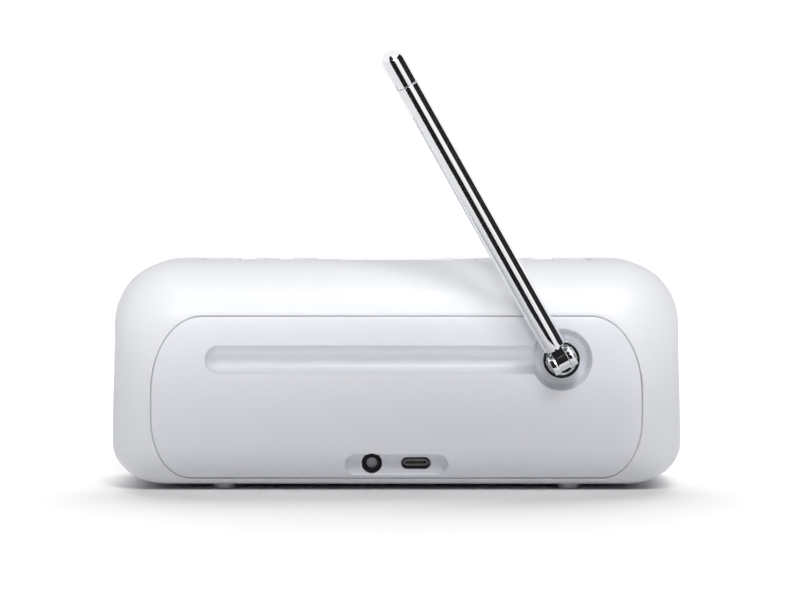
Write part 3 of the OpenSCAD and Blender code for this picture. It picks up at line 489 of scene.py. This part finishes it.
def antenna():
    """Tubes turned about the antenna's axis, each with a rolled-in end, and a tip cap with a dome."""
    bodies = ["antenna_arm", "antenna_section_2", "antenna_section_3", "antenna_section_4"]
    for i, body in enumerate(bodies):
        r = TUBE_R - TUBE_STEP * i
        s0 = 5.2 if i == 0 else 10.2 + 0.4 * i
        s1 = TUBE_END - 0.02 * i
        bore = r - TUBE_WALL
        profile = np.concatenate([[(bore, s0)], arc(r - 0.15, s0 + 0.15, 0.15, -90, 0, 4),
                                  [(r, s0 + 4), (r, (s0 + s1) / 2)], arc(r - 0.3, s1 - 0.3, 0.3, 0, 90, 6),
                                  [(bore + 0.02, s1), (bore, s1 - 0.2), (bore, s1 - 4)]])
        v, f = turned(profile, PIVOT, ALONG, PIN_AXIS, 96)
        mesh_object(f"tube_{i + 1}_skin", v, f, body, M["chrome"],
                    [f"antenna_tube_{i + 1}"])
    r = TUBE_R - TUBE_STEP * 4
    rod = [(0, 11.4), (r - 0.1, 11.4), (r, 11.6), (r, 60), (r, TUBE_END + 3.9)]
    v, f = turned(rod, PIVOT, ALONG, PIN_AXIS, 64)
    mesh_object("rod_skin", v, f, "antenna_section_5", M["chrome"], ["antenna_rod"])
    s0 = TUBE_END + 0.1
    dome = arc(0, 0, 1, 0, 90, 14) * [TUBE_R, TUBE_R] + [0, ANT_LEN - TUBE_R]
    profile = np.concatenate([[(1.9, s0 + 3), (1.9, s0), (TUBE_R - 0.45, s0)],
                              arc(TUBE_R - 0.35, s0 + 0.35, 0.35, -80, 0, 5), [(TUBE_R, s0 + 3)], dome])
    v, f = turned(profile, PIVOT, ALONG, PIN_AXIS, 96)
    mesh_object("tip_skin", v, f, "antenna_section_5", M["chrome"], ["antenna_tip"])


antenna()


def bevelled_block(center, axes, sizes, r=0.25, n=3):
    """A block with rounded edges: a unit cube's grid pushed out from a smaller core by radius r. axes are the
    block's three unit directions and sizes its full sizes along them."""
    pts, faces, base = [], [], 0
    for k in range(3):
        for s in (-1, 1):
            m = 2 * n + 2
            t = np.repeat([-1.0, 1.0], n + 1)
            ang = np.concatenate([np.linspace(-45, 0, n + 1), np.linspace(0, 45, n + 1)])
            U, V = np.meshgrid(np.arange(m), np.arange(m), indexing="ij")
            core = np.zeros((m, m, 3))
            nrm = np.zeros((m, m, 3))
            i, j = (k + 1) % 3, (k + 2) % 3
            core[..., k], core[..., i], core[..., j] = s, t[U], t[V]
            nrm[..., k] = s
            nrm[..., i] = np.tan(np.radians(ang[U]))
            nrm[..., j] = np.tan(np.radians(ang[V]))
            nrm /= np.linalg.norm(nrm, axis=-1, keepdims=True)
            half = np.array(sizes) / 2 - r
            pts.append((core * half + nrm * r).reshape(-1, 3))
            faces.extend((grid_faces(m, m, flip=s < 0) + base).tolist())
            base += m * m
    local = np.concatenate(pts)
    return np.asarray(center) + local @ np.asarray(axes), faces


def turret():
    """A bevelled drum in the recess, with two rounded ears that hold the pin."""
    u = np.array([math.cos(TURN), 0, math.sin(TURN)])
    c = np.array([PIVOT[0], 0, PIVOT[2]])
    a = np.linspace(0, 1, 9)[:, None]
    bowl = np.array([4.75, 36.0]) * (1 - a) + np.array([0, 36.38]) * a + np.sin(a * math.pi) * [0, 0.12]
    drum = np.concatenate([[(0, 31.15), (5.9, 31.15)], arc(5.9, 31.35, 0.2, -90, 0, 3),
                           [(6.1, 33.5), (6.1, 36.0)],
                           arc(5.96, 36.24, 0.14, 0, 85, 5), [(5.9, 36.38), (5.05, 36.36)],
                           arc(4.95, 36.16, 0.2, 85, 180, 5), bowl])
    parts = [turned(drum, c, (0, 1, 0), u, 96)]
    for s in (-1, 1):
        lo, hi = (1.95, 4.1) if s > 0 else (-4.1, -1.95)
        mid = (lo + hi) / 2
        ear = np.concatenate([[(0, lo), (3.0, lo)], arc(3.05, lo + 0.25, 0.25, -90, 0, 4),
                              arc(3.05, hi - 0.25, 0.25, 0, 90, 4),
                              [(1.15, hi), (1.15, hi - 0.3), (0, hi - 0.3)]])
        parts.append(turned(ear, c + [0, PIVOT[1], 0], PIN_AXIS, u, 64))
        parts.append(bevelled_block(c + PIN_AXIS * mid + np.array([0, 38.5, 0]), [u, (0, 1, 0), PIN_AXIS],
                                    (6.6, 4.6, 2.15), 0.25))
    v, f = join(parts)
    mesh_object("turret_skin", v, f, "antenna_base", M["chrome"], ["antenna_turret"])
    pin = np.concatenate([[(0, -4.75), (1.3, -4.75)], arc(1.4, -4.45, 0.3, -90, 0, 4),
                          [(1.7, -4.15), (1.1, -4.12), (1.1, 4.12), (1.7, 4.15)],
                          arc(1.4, 4.45, 0.3, 0, 90, 4), [(0, 4.75)]])
    v, f = turned(pin, PIVOT, PIN_AXIS, u, 48)
    mesh_object("pin_skin", v, f, "antenna_base", M["steel"], ["antenna_pin"])


turret()

# ---- Ports and feet -------------------------------------------------------------------

def stadium(half, r, n=12):
    """Outline of a slot, anticlockwise: two half circles of radius r whose centres are 2 * half apart."""
    a = np.linspace(-math.pi / 2, math.pi / 2, n)
    right = np.stack([half + r * np.cos(a), r * np.sin(a)], -1)
    return np.concatenate([right, -right])


def stack(loops, levels, place):
    """A skin through loops of equal length, each at its level; place maps (loop point, level) to space."""
    verts = np.concatenate([place(loop, level) for loop, level in zip(loops, levels)])
    return verts, grid_faces(len(loops), len(loops[0]), wrap=True)


def back_facing(cx, cz):
    """Maps a loop's point and a depth to space, so that the loop runs anticlockwise seen from behind."""
    return lambda loop, y: np.column_stack([cx - loop[:, 0], np.full(len(loop), y), cz + loop[:, 1]])


def ports():
    """The headphone socket is turned about its bore; the USB-C shell is a slot drawn from its back wall round
    its lip, with a contact tongue inside."""
    nose = np.concatenate([[(0, 18), (1.8, 18), (1.8, 31.25)], arc(2.15, 31.25, 0.35, 180, 90, 5),
                           arc(2.8, 31.35, 0.25, 90, 0, 5), [(3.05, 29)]])
    v, f = turned(nose, (JACK_X, 0, PORT_Z), (0, 1, 0), (1, 0, 0), 72)
    mesh_object("jack_skin", v, f[:, ::-1], "case_body", M["port"], ["aux_jack_socket"])
    lip = [(0.0, 0.0, 25.0), (2.89, 1.28, 25.0), (2.89, 1.28, 31.4)]     # half length, radius, depth
    lip += [(2.84, 1.28 + k, 31.6 - h) for k, h in ((0.06, 0.06), (0.12, 0.0), (0.24, 0.0), (0.31, 0.06),
                                                    (0.35, 0.2), (0.35, 6))]
    loops = [stadium(h, max(r, 0.001)) for h, r, _ in lip]
    shell = stack(loops, [y for *_, y in lip], back_facing(USB_X, PORT_Z))
    tongue = bevelled_block((USB_X, 28.2, PORT_Z), np.eye(3), (6.6, 5.6, 0.7), 0.12)
    v, f = join([shell, tongue])
    mesh_object("usb_skin", v, f, "case_body", M["port_metal"], ["usb_c_socket"])
    pads = [bevelled_block((USB_X - 2.75 + 0.5 * k, 28.6, PORT_Z + s * 0.36), np.eye(3),
                           (0.26, 3.6, 0.06), 0.02, 1)
            for k in range(12) for s in (-1, 1)]
    v, f = join(pads)
    mesh_object("usb_contacts", v, f, "case_body", M["gold"])


def feet():
    """Four rounded pads: a slot outline drawn down over a small rounding and closed underneath."""
    parts = []
    sizes = [(2.4, 0), (FOOT_EDGE, 0)] + [(FOOT_EDGE * (1 - math.sin(a)), FOOT_EDGE * (1 - math.cos(a)))
                                          for a in np.radians([30, 60, 90])] + [(0, 3.2)]
    loops = [stadium(FOOT_HALF, FOOT_R - inset) for _, inset in sizes]
    for x in (-FOOT_X, FOOT_X):
        for y in (-FOOT_Y, FOOT_Y):
            def place(loop, z):
                return np.column_stack([x + loop[:, 1], y - loop[:, 0], np.full(len(loop), z)])
            parts.append(stack(loops, [z for z, _ in sizes], place))
    v, f = join(parts)
    mesh_object("feet_skin", v, [q[::-1] for q in f], "case_body", M["foot"], ["feet"])


ports()
feet()

# ---- Keys, icons and display ------------------------------------------------------------


def flat_shape(points, z, cx=0.0, cy=0.0):
    """A flat polygon face lying on the top at height z, shifted to (cx, cy)."""
    p = np.asarray(points, float)
    return np.column_stack([p[:, 0] + cx, p[:, 1] + cy, np.full(len(p), z)]), [list(range(len(p)))]


def ring_arc(r0, r1, a0, a1, z, cx, cy, n=20):
    """A flat arc band between two radii."""
    a = np.radians(np.linspace(a0, a1, n))
    inner = np.column_stack([cx + r0 * np.cos(a), cy + r0 * np.sin(a), np.full(n, z)])
    outer = np.column_stack([cx + r1 * np.cos(a), cy + r1 * np.sin(a), np.full(n, z)])
    verts = np.concatenate([inner, outer])
    return verts, [[i, n + i, n + i + 1, i + 1] for i in range(n - 1)]


def bar(w, h):
    """Corners of a rectangle about the origin."""
    return [(-w / 2, -h / 2), (w / 2, -h / 2), (w / 2, h / 2), (-w / 2, h / 2)]


DIGITS = {"0": "abcdef", "1": "bc", "2": "abged", "3": "abgcd", "4": "fgbc", "8": "abcdefg"}


def digit(char, z, cx, cy, size):
    """A figure made of up to seven bars, each lying at its own place in the frame of an 8."""
    w, h, t = size * 0.5, size, size * 0.13
    at = {"a": (0, h / 2, w, t), "g": (0, 0, w, t), "d": (0, -h / 2, w, t), "f": (-w / 2, h / 4, t, h / 2),
          "b": (w / 2, h / 4, t, h / 2), "e": (-w / 2, -h / 4, t, h / 2), "c": (w / 2, -h / 4, t, h / 2)}
    bars = [at[k] for k in DIGITS[char]]
    return [flat_shape(bar(bw * 0.92, bh * 0.92), z, cx + bx, cy + by) for bx, by, bw, bh in bars]


def icon(kind, z, cx, cy):
    """A generic mark for a key, made of flat bars and arcs."""
    s = flat_shape
    return {
        "power": lambda: [ring_arc(1.35, 1.65, 130, 410, z, cx, cy), s(bar(0.3, 1.6), z, cx, cy + 1.2)],
        "wireless": lambda: [ring_arc(r - 0.3, r, 45, 135, z, cx, cy - 1.1) for r in (1.1, 1.8, 2.5)]
        + [s(bar(0.5, 0.5), z, cx, cy - 0.9)],
        "source": lambda: [s([(-1.6, 0.5), (0.7, 0.5), (0.7, 0.8), (-1.6, 0.8)], z, cx, cy),
                           s([(0.7, 0.15), (1.6, 0.65), (0.7, 1.15)], z, cx, cy),
                           s([(-0.7, -0.8), (1.6, -0.8), (1.6, -0.5), (-0.7, -0.5)], z, cx, cy),
                           s([(-0.7, -0.15), (-1.6, -0.65), (-0.7, -1.15)], z, cx, cy)],
        "menu": lambda: [s(bar(2.8, 0.32), z, cx, cy + k) for k in (-0.95, 0, 0.95)],
        "tune_down": lambda: [s([(1.1 - k, -1.2), (1.1 - k, 1.2), (-0.2 - k, 0)], z, cx, cy)
                              for k in (0, 1.35)],
        "tune_up": lambda: [s([(k - 1.1, -1.2), (k + 0.2, 0), (k - 1.1, 1.2)], z, cx, cy) for k in (0, 1.35)],
        "volume_down": lambda: [s(bar(2.6, 0.36), z, cx, cy)],
        "volume_up": lambda: [s(bar(2.6, 0.36), z, cx, cy), s(bar(0.36, 2.6), z + 0.001, cx, cy)],
        "select": lambda: [ring_arc(1.05, 1.4, 0, 360, z, cx, cy, 40)],
        "preset_1": lambda: digit("1", z, cx - 0.5, cy, 2.4),
        "preset_2": lambda: digit("2", z, cx, cy, 2.4),
        "preset_3": lambda: digit("3", z, cx, cy, 2.4),
    }[kind]()


def keys():
    """Round caps turned about their own axis: a rounded shoulder, then a shallow dish with the key's mark."""
    body_of = {n: b for b, members in frame["record"]["behaviour"]["bodies"].items() for n in members}
    for node in [n for n in frame["nodes"] if n.startswith("key_") and body_of[n].startswith("button")]:
        kind = node[4:]
        lo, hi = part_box(node)
        cx, cy, top = (lo[0] + hi[0]) / 2 / MM, (lo[1] + hi[1]) / 2 / MM, hi[2] / MM
        t = np.linspace(0, 1, 8)
        dish = np.column_stack([(KEY_R - 0.5) * (1 - t), top - 0.25 * (1 - (1 - t) ** 2)])
        rim = arc(KEY_R - 0.45, top - 0.45, 0.45, 0, 90, 7)
        profile = np.concatenate([[(KEY_R, lo[2] / MM + 1.2)], rim, dish])
        v, f = turned(profile, (cx, cy, 0), (0, 0, 1), (1, 0, 0), 64)
        mesh_object(node + "_skin", v, f, body_of[node], M["key"], [node])
        v, f = join(icon(kind, top - MARK_DOWN, cx, cy))
        mesh_object(node + "_mark", v, f, body_of[node], M["icon"], smooth=False)


keys()


def display():
    """A generic clock and level bars, as flat shapes just above the CAD's window."""
    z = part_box("display_window")[1][2] / MM + MARK_UP
    parts = []
    for pair, left in (("10", -9.5), ("48", 0.8)):
        for k, char in enumerate(pair):
            parts += digit(char, z, left + 4.2 * k, 0.8, 5.2)
    parts += [flat_shape(bar(0.6, 0.6), z, -2.4, 0.8 + s) for s in (-1.2, 1.2)]
    parts += [flat_shape(bar(0.8, 0.5 + 0.45 * k), z, 9.5 + 1.3 * k, -1.5 + 0.225 * k) for k in range(5)]
    v, f = join(parts)
    mesh_object("display_marks", v, f, "case_body", M["segment"], smooth=False)


display()

# ---- Studio ------------------------------------------------------------------------

def emitter(name, location, target, size, power):
    """A white rectangular lamp that faces its target."""
    data = bpy.data.lights.new(name, "AREA")
    data.shape, data.size, data.size_y, data.energy = "RECTANGLE", size[0], size[1], power
    o = bpy.data.objects.new(name, data)
    o.location = location
    o.rotation_euler = (Vector(target) - Vector(location)).to_track_quat("-Z", "Y").to_euler()
    bpy.context.scene.collection.objects.link(o)
    return o


def card(name, centre, target, size):
    """A dark card seen only in mirror reflections; its long side runs along the antenna."""
    mesh = bpy.data.meshes.new(name)
    facing = (np.asarray(target) - centre) / np.linalg.norm(np.asarray(target) - centre)
    across = np.cross(ALONG, facing)
    w, h = across * size[0] / 2, ALONG * size[1] / 2
    corners = [tuple(centre + a * w + b * h) for a, b in ((-1, -1), (1, -1), (1, 1), (-1, 1))]
    mesh.from_pydata(corners, [], [(0, 1, 2, 3)])
    mesh.materials.append(material(name, (0.008, 0.008, 0.009), 0.9))
    o = bpy.data.objects.new(name, mesh)
    o.visible_camera = o.visible_shadow = o.visible_diffuse = False
    bpy.context.scene.collection.objects.link(o)


def floor_look():
    """Matt and pale grey for the light it throws back, and lifted to white where the camera sees it."""
    m = bpy.data.materials.new("floor_white")
    m.use_nodes = True
    n, l = m.node_tree.nodes, m.node_tree.links
    n.remove(next(x for x in n if x.type == "BSDF_PRINCIPLED"))
    matt, seen = n.new("ShaderNodeBsdfDiffuse"), n.new("ShaderNodeLightPath")
    value = None
    gains = (("Is Camera Ray", 0.25), ("Is Glossy Ray", 0.1), ("Is Diffuse Ray", 0.3))
    for ray, extra in gains:
        step = n.new("ShaderNodeMath")
        step.operation = "MULTIPLY_ADD"
        step.inputs[1].default_value = extra
        step.inputs[2].default_value = 0.7
        l.new(seen.outputs[ray], step.inputs[0])
        if value:
            l.new(value, step.inputs[2])
        value = step.outputs[0]
    l.new(value, matt.inputs["Color"])
    l.new(matt.outputs["BSDF"], next(x for x in n if x.type == "OUTPUT_MATERIAL").inputs["Surface"])
    return m


floor_mesh = bpy.data.meshes.new("floor")
floor_mesh.from_pydata([(-6, -6, 0), (6, -6, 0), (6, 6, 0), (-6, 6, 0)], [], [(0, 1, 2, 3)])
floor_mesh.materials.append(floor_look())
floor = bpy.data.objects.new("floor", floor_mesh)
bpy.context.scene.collection.objects.link(floor)

world = bpy.data.worlds.new("studio")
bpy.context.scene.world = world
world.use_nodes = True
background = next(x for x in world.node_tree.nodes if x.type == "BACKGROUND")
background.inputs["Color"].default_value = (1, 1, 1, 1)
path = world.node_tree.nodes.new("ShaderNodeLightPath")
level = world.node_tree.nodes.new("ShaderNodeMapRange")
level.inputs["To Min"].default_value = 1.05
level.inputs["To Max"].default_value = FILL
world.node_tree.links.new(path.outputs["Is Diffuse Ray"], level.inputs["Value"])
world.node_tree.links.new(level.outputs["Result"], background.inputs["Strength"])

glow = emitter("glow", (0, 0.5, 0.25), (0, 0, 0.25), (1.3, 0.02), GLOW)
glow.data.spread = math.radians(52)
for name, energy, angle, way in (("sun", SUN, 22, (-0.12, 0.6, 0.78)),
                                 ("floor_sun", FLOOR_SUN, 60, (0, -0.7, 0.71))):
    sun = bpy.data.objects.new(name, bpy.data.lights.new(name, "SUN"))
    sun.data.energy, sun.data.angle = energy, math.radians(angle)
    sun.rotation_euler = Vector(way).to_track_quat("Z", "Y").to_euler()
    bpy.context.scene.collection.objects.link(sun)
only_floor = bpy.data.collections.new("only_floor")
only_floor.objects.link(floor)
sun.light_linking.receiver_collection = only_floor
TOWARDS = np.array([0.0, 1.0, 0.0]) - ALONG * ALONG[1]
TOWARDS /= np.linalg.norm(TOWARDS)
MID_ANT = (PIVOT + ALONG * ANT_LEN / 2) * MM
# each flag fills a span of angles about the antenna's axis, in degrees, at a distance in metres
for tag, lo, hi, far in (("flag_near", -36, 8, 0.1), ("flag_right", 46, 108, 0.6)):
    mid, wide = math.radians((lo + hi) / 2), math.radians((hi - lo) / 2)
    where = MID_ANT + far * (math.cos(mid) * TOWARDS + math.sin(mid) * PIN_AXIS)
    card(tag, where, MID_ANT, (2 * far * math.tan(wide), 0.7))

# camera: behind the radio, a little above it
bpy.context.scene.view_settings.view_transform = "Standard"
CAM_UP, CAM_DIST, AIM = math.radians(2.5), 1.0, Vector((-0.00116, 0.0, 0.0608))
LENS, SENSOR = 134.25, 36.0
camera = bpy.data.objects.new("camera", bpy.data.cameras.new("camera"))
camera.data.lens, camera.data.sensor_width = LENS, SENSOR
camera.data.clip_start, camera.data.clip_end = 0.05, 30.0
camera.location = AIM + Vector((0, math.cos(CAM_UP), math.sin(CAM_UP))) * CAM_DIST
camera.rotation_euler = (AIM - camera.location).to_track_quat("-Z", "Y").to_euler()
bpy.context.scene.collection.objects.link(camera)
bpy.context.scene.camera = camera
